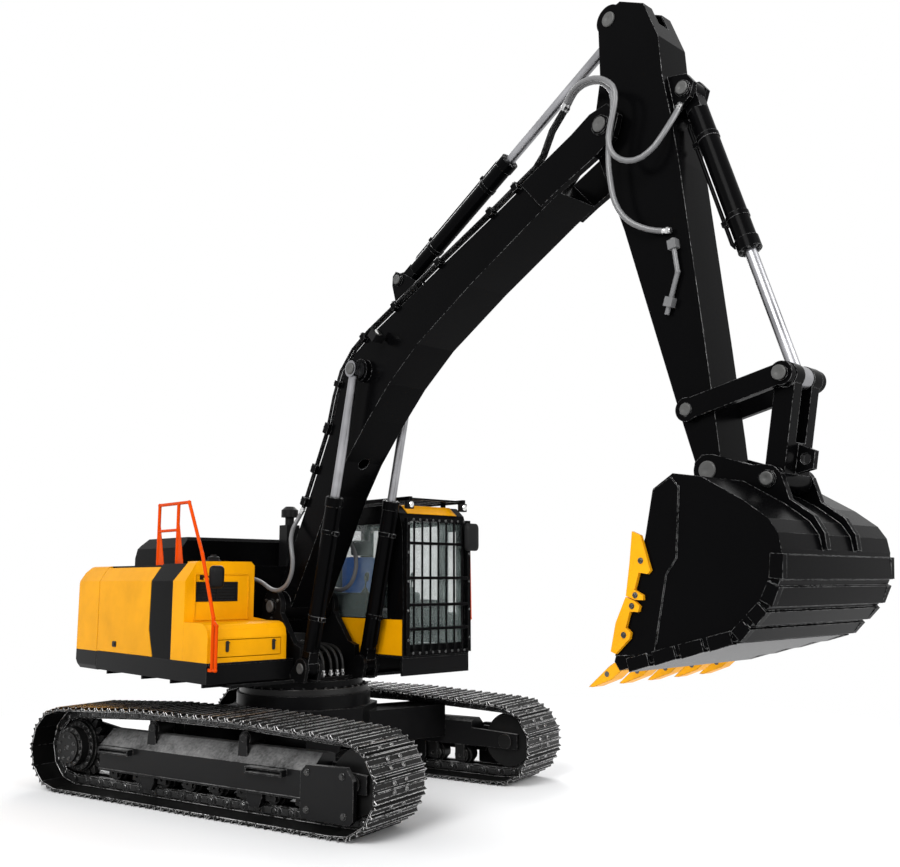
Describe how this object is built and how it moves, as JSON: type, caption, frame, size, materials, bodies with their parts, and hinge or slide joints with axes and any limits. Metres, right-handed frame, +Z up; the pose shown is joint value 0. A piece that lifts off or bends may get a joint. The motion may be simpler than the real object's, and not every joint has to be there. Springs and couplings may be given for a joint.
{
  "type": "crawler excavator",
  "caption": "Crawler excavator with a turning house, barred cab, bent box boom, arm and toothed bucket moved by hydraulic cylinders, on steel shoe tracks.",
  "frame": {"origin": "on the ground under the middle of the overall box at the pictured pose", "axes": "+X forward along the boom, +Y to the left of the cab, +Z up"},
  "size_m": [8.6445, 4.2194, 6.5532],
  "materials": {
    "frame_black": "dusty satin",
    "ring_steel": "satin",
    "track_steel": "worn",
    "wheel_iron": "dusty",
    "weight_yellow": "gloss paint",
    "engine_iron": "satin",
    "panel_yellow": "gloss paint",
    "panel_black": "satin paint",
    "glass": "clear",
    "seat_fabric": "woven",
    "rail_orange": "gloss paint",
    "black_plastic": "matte",
    "front_black": "satin paint",
    "lamp": "gloss",
    "teeth_yellow": "worn paint",
    "rod_chrome": "polished"
  },
  "bodies": {
    "undercarriage": {"car_body": "frame_black", "slew_ring": "ring_steel", "right_track_frame": "frame_black", "left_track_frame": "frame_black", "right_track": "track_steel", "left_track": "track_steel", "right_sprocket": "wheel_iron", "left_sprocket": "wheel_iron", "right_idler": "wheel_iron", "left_idler": "wheel_iron", "right_rollers": "wheel_iron", "left_rollers": "wheel_iron"},
    "upper": {"main_frame": "frame_black", "counterweight": "weight_yellow", "engine": "engine_iron", "house_frame": "frame_black", "right_tank": "panel_yellow", "band_panel": "panel_black", "tool_box": "panel_yellow", "cab_shell": "panel_black", "cab_glass": "glass", "cab_guard": "panel_black", "cab_seat": "seat_fabric", "handrail": "rail_orange", "mirrors": "black_plastic", "pre_cleaner": "black_plastic", "valve_block": "engine_iron", "tank_vent": "black_plastic", "cab_panel": "panel_yellow", "cab_lamps": "lamp"},
    "right_door": {"right_door": "panel_yellow"},
    "left_door": {"left_door": "panel_yellow"},
    "engine_hood": {"engine_hood": "panel_black"},
    "box_lid": {"box_lid": "panel_yellow"},
    "cab_door": {"cab_door": "panel_black", "door_glass": "glass"},
    "boom": {"boom": "front_black", "boom_lamp": "lamp", "boom_pipes": "front_black"},
    "arm": {"arm": "front_black", "arm_pipe": "front_black"},
    "bucket": {"bucket": "front_black", "bucket_teeth": "teeth_yellow", "side_cutters": "teeth_yellow"},
    "idler_links": {"idler_links": "front_black"},
    "hook_link": {"hook_link": "front_black"},
    "boom_barrels": {"boom_barrels": "front_black"},
    "boom_rods": {"boom_rods": "rod_chrome"},
    "arm_barrel": {"arm_barrel": "front_black"},
    "arm_rod": {"arm_rod": "rod_chrome"},
    "bucket_barrel": {"bucket_barrel": "front_black"},
    "bucket_rod": {"bucket_rod": "rod_chrome"}
  },
  "joints": [
    {"name": "slew", "type": "hinge", "parent": "undercarriage", "child": "upper", "pos_m": [-1.492, 0, 1.06], "axis": [0, 0, 1], "continuous": true},
    {"name": "boom", "type": "hinge", "parent": "upper", "child": "boom", "pos_m": [-1.572, 0, 1.78], "axis": [0, -1, 0], "range_deg": [-80, 14]},
    {"name": "boom_barrel_pivot", "type": "hinge", "parent": "upper", "child": "boom_barrels", "pos_m": [-0.922, 0, 1.2], "axis": [0, -1, 0], "range_deg": [-82.89, 14.92]},
    {"name": "boom_rod_slide", "type": "slide", "parent": "boom_barrels", "child": "boom_rods", "axis": [0.2288, 0, 0.9735], "range_m": [-1.1126, 0.1964]},
    {"name": "arm", "type": "hinge", "parent": "boom", "child": "arm", "pos_m": [2.70924, 0, 5.52794], "axis": [0, 1, 0], "range_deg": [-80, 26]},
    {"name": "arm_barrel_pivot", "type": "hinge", "parent": "boom", "child": "arm_barrel", "pos_m": [0.10312, 0, 4.91442], "axis": [0, -1, 0], "range_deg": [-1.34, 3.09]},
    {"name": "arm_rod_slide", "type": "slide", "parent": "arm_barrel", "child": "arm_rod", "axis": [0.8668, 0, 0.4987], "range_m": [-1.1227, 0.3662]},
    {"name": "bucket", "type": "hinge", "parent": "arm", "child": "bucket", "pos_m": [3.50855, 0, 2.7767], "axis": [0, 1, 0], "range_deg": [-80, 76]},
    {"name": "idler_link_pivot", "type": "hinge", "parent": "arm", "child": "idler_links", "pos_m": [3.35193, 0, 3.21543], "axis": [0, 1, 0], "range_deg": [-58.9, 55.98]},
    {"name": "hook_link_pivot", "type": "hinge", "parent": "idler_links", "child": "hook_link", "pos_m": [4.07393, 0, 3.36479], "axis": [0, 1, 0], "range_deg": [-38.5, 40.5]},
    {"name": "bucket_barrel_pivot", "type": "hinge", "parent": "arm", "child": "bucket_barrel", "pos_m": [3.35296, 0, 5.64207], "axis": [0, -1, 0], "range_deg": [-1.66, 1.72]},
    {"name": "bucket_rod_slide", "type": "slide", "parent": "bucket_barrel", "child": "bucket_rod", "axis": [0.3018, 0, -0.9534], "range_m": [-0.6484, 0.6161]},
    {"name": "cab_door", "type": "hinge", "parent": "upper", "child": "cab_door", "pos_m": [-1.822, 1.382, 1.29], "axis": [0, 0, 1], "range_deg": [0, 165]},
    {"name": "right_door", "type": "hinge", "parent": "upper", "child": "right_door", "pos_m": [-2.274, -1.352, 1.29], "axis": [0, 0, 1], "range_deg": [0, 95]},
    {"name": "left_door", "type": "hinge", "parent": "upper", "child": "left_door", "pos_m": [-3.41, 1.352, 1.29], "axis": [0, 0, 1], "range_deg": [0, 95]},
    {"name": "engine_hood", "type": "hinge", "parent": "upper", "child": "engine_hood", "pos_m": [-3.434, 0, 2.212], "axis": [0, -1, 0], "range_deg": [0, 60]},
    {"name": "box_lid", "type": "hinge", "parent": "upper", "child": "box_lid", "pos_m": [-1.1, 0, 1.356], "axis": [0, 1, 0], "range_deg": [0, 90]}
  ],
  "couplings": [
    {"joint": "boom_barrel_pivot", "follows": "boom", "ratio": 1.0299},
    {"joint": "boom_rod_slide", "follows": "boom", "m_per_rad": 0.7954},
    {"joint": "arm_barrel_pivot", "follows": "arm", "ratio": -0.03241},
    {"joint": "arm_rod_slide", "follows": "arm", "m_per_rad": 0.80262},
    {"joint": "idler_link_pivot", "follows": "bucket", "ratio": 0.73},
    {"joint": "hook_link_pivot", "follows": "bucket", "ratio": -0.5},
    {"joint": "bucket_barrel_pivot", "follows": "bucket", "ratio": -0.01522},
    {"joint": "bucket_rod_slide", "follows": "bucket", "m_per_rad": 0.46294}
  ]
}
